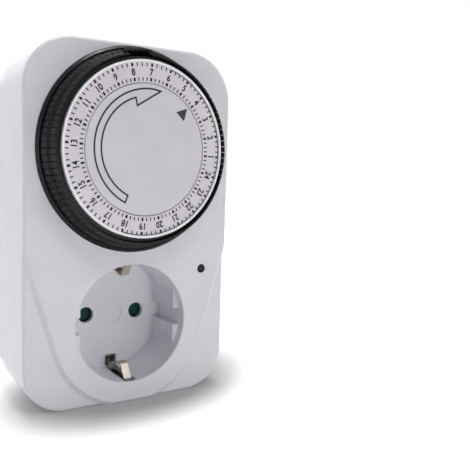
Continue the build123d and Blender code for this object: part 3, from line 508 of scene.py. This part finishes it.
def flat_number(text):
    """One number in text units, as a flat bmesh."""
    curve = bpy.data.curves.new("number", "FONT")
    curve.body = text
    curve.align_x = "CENTER"
    curve.offset = NUMBER_WEIGHT
    curve.resolution_u = NUMBER_CURVE_STEPS
    holder = bpy.data.objects.new("number", curve)
    bpy.context.scene.collection.objects.link(holder)
    graph = bpy.context.evaluated_depsgraph_get()
    data = bpy.data.meshes.new_from_object(holder.evaluated_get(graph))
    bpy.data.objects.remove(holder)
    bpy.data.curves.remove(curve)
    figure = bmesh.new()
    figure.from_mesh(data)
    bpy.data.meshes.remove(data)
    bmesh.ops.remove_doubles(figure, verts=figure.verts, dist=NUMBER_WELD)
    return figure


def place_number(figure, angle):
    """Scales a flat number and lays it on the ring, its top outwards."""
    heights = [vert.co.y for vert in figure.verts]
    widths = [vert.co.x for vert in figure.verts]
    middle_x = (max(widths) + min(widths)) / 2
    middle_y = (max(heights) + min(heights)) / 2
    size = NUMBER_HEIGHT / (max(heights) - min(heights))
    out_x, out_z = polar(1.0, angle)
    side_x, side_z = polar(1.0, angle - 90)
    for vert in figure.verts:
        across = (vert.co.x - middle_x) * size * NUMBER_SQUEEZE
        up = NUMBER_RADIUS + (vert.co.y - middle_y) * size
        x = dial_x + across * side_x + up * out_x
        z = dial_z + across * side_z + up * out_z
        vert.co = (x, ring_face - PRINT_HEIGHT, z)


def thicken(figure):
    """Extrudes a flat number into the ring."""
    extruded = bmesh.ops.extrude_face_region(figure, geom=figure.faces[:])
    for item in extruded["geom"]:
        if isinstance(item, bmesh.types.BMVert):
            item.co.y += PRINT_HEIGHT + PRINT_SINK


def hour_numbers(material):
    """Figures 1 to 24 round the ring."""
    mesh = bmesh.new()
    for hour in range(1, HOURS + 1):
        figure = flat_number(str(hour))
        place_number(figure, hour_angle(hour))
        thicken(figure)
        data = bpy.data.meshes.new("figure")
        figure.to_mesh(data)
        figure.free()
        mesh.from_mesh(data)
        bpy.data.meshes.remove(data)
    add_piece(mesh, "scale_numbers", material, "dial")


def turning_arrow(material):
    """Outlined arrow on the fixed disc that shows which way the dial turns."""
    outer_tail = on_disc(2.6, -113.8)
    outer_back = on_disc(2.9, 180.0)
    outer_neck = on_disc(1.6, 92.0)
    brow = on_disc(1.5, 83.5)
    tip = on_disc(1.5, 76.0)
    barb = on_disc(6.45, 104.4)
    inner_neck = on_disc(4.0, 104.2)
    inner_back = on_disc(5.12, 180.0)
    inner_tail = on_disc(4.95, -114.3)
    outer = arc(outer_tail, outer_back, outer_neck, ARROW_STEPS)
    head = arc(outer_neck, brow, tip, HEAD_STEPS)
    inner = arc(inner_neck, inner_back, inner_tail, ARROW_STEPS)
    mesh = bmesh.new()
    outline_strip(mesh, outer + head[1:] + [barb] + inner, ARROW_LINE, disc_face)
    add_piece(mesh, "turning_arrow", material, "housing")


def reading_mark(material):
    """Solid triangle on the fixed disc at which the time of day is read."""
    tip = on_disc(0.65, 43.9)
    left = on_disc(4.3, 50.3)
    right = on_disc(4.0, 36.3)
    mesh = bmesh.new()
    prism(mesh, [tip, left, right], disc_face)
    add_piece(mesh, "reading_mark", material, "housing")


def print_dial():
    """All that is printed on the ring and the disc."""
    ink_black = ink("ink_black", srgb(34, 34, 40), srgb(26, 26, 32))
    ink_grey = ink("ink_grey", srgb(62, 61, 70), srgb(54, 53, 62))
    quarter_hour_ticks(ink_black)
    night_line(ink_black)
    hour_numbers(ink_black)
    turning_arrow(ink_grey)
    reading_mark(ink_grey)


# ---------------------------------------------------------------- background, floor and light

FROM_PLUS = (0.25, 0.3, 0.05)   # light of the studio from +X, +Y and +Z
FROM_MINUS = (0.05, 0.05, 0.1)  # and from -X, -Y and -Z


def add_world():
    """White background; the light that it sheds depends softly on its direction."""
    world = bpy.data.worlds.new("studio")
    world.use_nodes = True
    wiring = Wiring(world.node_tree)
    direction = wiring.node("TexCoord").outputs["Generated"]
    shares = []
    for operation, amounts in (("MAXIMUM", FROM_PLUS), ("MINIMUM", FROM_MINUS)):
        half = wiring.vector_math(operation, direction, (0.0, 0.0, 0.0))
        square = wiring.vector_math("MULTIPLY", half, half)
        shares.append(wiring.vector_math("DOT_PRODUCT", square, amounts))
    light = wiring.math("ADD", *shares)
    background = wiring.tree.nodes["Background"]
    background.inputs["Color"].default_value = (1.0, 1.0, 1.0, 1.0)
    strength = wiring.mix("FLOAT", wiring.seen_rays(1.0, 0.0), light, 1.0)
    wiring.feed(strength, background.inputs["Strength"])
    bpy.context.scene.world = world


FLOOR_SIZE = 6.0
# the floor is darker to the camera than in the light it throws back, a painted shadow round the timer's
# base
FLOOR_SEEN_PAINTED_SHADE = 0.61               # lightness of the floor in the picture, without its glow
FLOOR_BOUNCE = 0.95             # and for the light that it throws back on the timer
# inside the oval the floor keeps that darker colour without glow, a painted shadow laid askew along the
# real one
FADE_MIDDLE = (0.010, 0.004, 0.0)   # of an oval, outside which the floor glows white
FADE_TURN = 23.0                # degrees by which the oval lies askew, along the shadow
FADE_SHAPE = (1.0, 0.6, 1.0)    # proportions of the oval
FADE_START = 0.034              # half length of the oval where the glow starts
FADE_END = 0.0785               # and where it is full


def floor_material():
    """Pale matt floor that takes the shadow and melts into the background, with a painted shadow: near
    the timer it is darker to the camera.
    """
    material = bpy.data.materials.new("floor_painted_shadow")
    material.use_nodes = True
    wiring = Wiring(material.node_tree)
    wiring.tree.nodes.clear()
    diffuse = wiring.node("BsdfDiffuse")
    wiring.feed(wiring.seen_rays(FLOOR_SEEN_PAINTED_SHADE, FLOOR_BOUNCE), diffuse.inputs["Color"])
    oval = wiring.node("Mapping")
    oval.vector_type = "TEXTURE"
    oval.inputs["Location"].default_value = FADE_MIDDLE
    oval.inputs["Rotation"].default_value = (0.0, 0.0, radians(FADE_TURN))
    oval.inputs["Scale"].default_value = FADE_SHAPE
    wiring.feed(wiring.node("NewGeometry").outputs["Position"], oval.inputs["Vector"])
    distance = wiring.vector_math("LENGTH", oval.outputs["Vector"])
    fade = wiring.between(distance, 0.0, 1.0, FADE_START, FADE_END, "SMOOTHSTEP")
    glow = wiring.node("Emission")
    wiring.feed(wiring.math("MULTIPLY", wiring.seen_rays(1.0, 0.0), fade), glow.inputs["Strength"])
    both = wiring.node("AddShader")
    wiring.feed(diffuse.outputs["BSDF"], both.inputs[0])
    wiring.feed(glow.outputs["Emission"], both.inputs[1])
    wiring.feed(both.outputs["Shader"], wiring.node("OutputMaterial").inputs["Surface"])
    return material


def add_floor():
    """Flat floor on which the timer stands."""
    mesh = bmesh.new()
    bmesh.ops.create_grid(mesh, x_segments=1, y_segments=1, size=FLOOR_SIZE / 2)
    data = bpy.data.meshes.new("floor")
    mesh.to_mesh(data)
    mesh.free()
    data.materials.append(floor_material())
    floor = bpy.data.objects.new("floor", data)
    bpy.context.scene.collection.objects.link(floor)


LAMP_AIM = (0.0, 0.0, 0.04)     # point that they shine at
LAMPS = (
    # name, place, size and power in watts
    ("key", (-0.66, 0.17, 0.04), 0.35, 1.85),
    ("low", (0.05, -0.36, 0.0), 0.12, 0.36),
    ("high", (0.12, -0.6, 0.9), 0.5, 2.2),
    ("right", (0.9, -0.7, 0.6), 1.0, 1.9),
    ("back", (0.05, 1.2, 0.4), 1.0, 3.0),
    ("top", (0.0, 0.06, 1.3), 0.4, 8.5),
)


def add_lamps():
    """Round lamps, all of them turned towards the timer."""
    for name, place, size, watts in LAMPS:
        data = bpy.data.lights.new(name, "AREA")
        data.shape = "DISK"
        data.size = size
        data.energy = watts
        lamp = bpy.data.objects.new(name, data)
        bpy.context.scene.collection.objects.link(lamp)
        lamp.location = place
        lamp.rotation_mode = "QUATERNION"
        lamp.rotation_quaternion = (Vector(LAMP_AIM) - Vector(place)).to_track_quat("-Z", "Y")


# ---------------------------------------------------------------- camera

CAMERA_PLACE = (-0.08322, -0.18539, 0.07469)
CAMERA_YAW = 29.37              # degrees to the right of straight back
CAMERA_PITCH = 5.71             # degrees downwards
CAMERA_ROLL = 1.13              # degrees
CAMERA_LENS = 45.44             # mm
CAMERA_SENSOR = 36.0            # width in mm
CAMERA_SHIFT = 0.138            # in widths of the picture
CAMERA_CLIP = (0.01, 20.0)      # nearest and farthest distance that it sees


def add_camera():
    """Camera at the photograph's viewing angle."""
    data = bpy.data.cameras.new("camera")
    data.lens = CAMERA_LENS
    data.sensor_width = CAMERA_SENSOR
    data.shift_x = CAMERA_SHIFT
    data.clip_start, data.clip_end = CAMERA_CLIP
    camera = bpy.data.objects.new("camera", data)
    bpy.context.scene.collection.objects.link(camera)
    yaw, pitch, roll = radians(CAMERA_YAW), radians(CAMERA_PITCH), radians(CAMERA_ROLL)
    forward = Vector((sin(yaw) * cos(pitch), cos(yaw) * cos(pitch), -sin(pitch)))
    right = Vector((cos(yaw), -sin(yaw), 0.0))
    up = right.cross(forward)
    turned_right = right * cos(roll) + up * sin(roll)
    turned_up = up * cos(roll) - right * sin(roll)
    rotation = Matrix((turned_right, turned_up, -forward)).transposed()
    camera.matrix_world = Matrix.Translation(CAMERA_PLACE) @ rotation.to_4x4()
    bpy.context.scene.camera = camera


dress_nodes()
print_dial()
add_world()
add_floor()
add_lamps()
add_camera()

bpy.context.scene.view_settings.view_transform = "Standard"
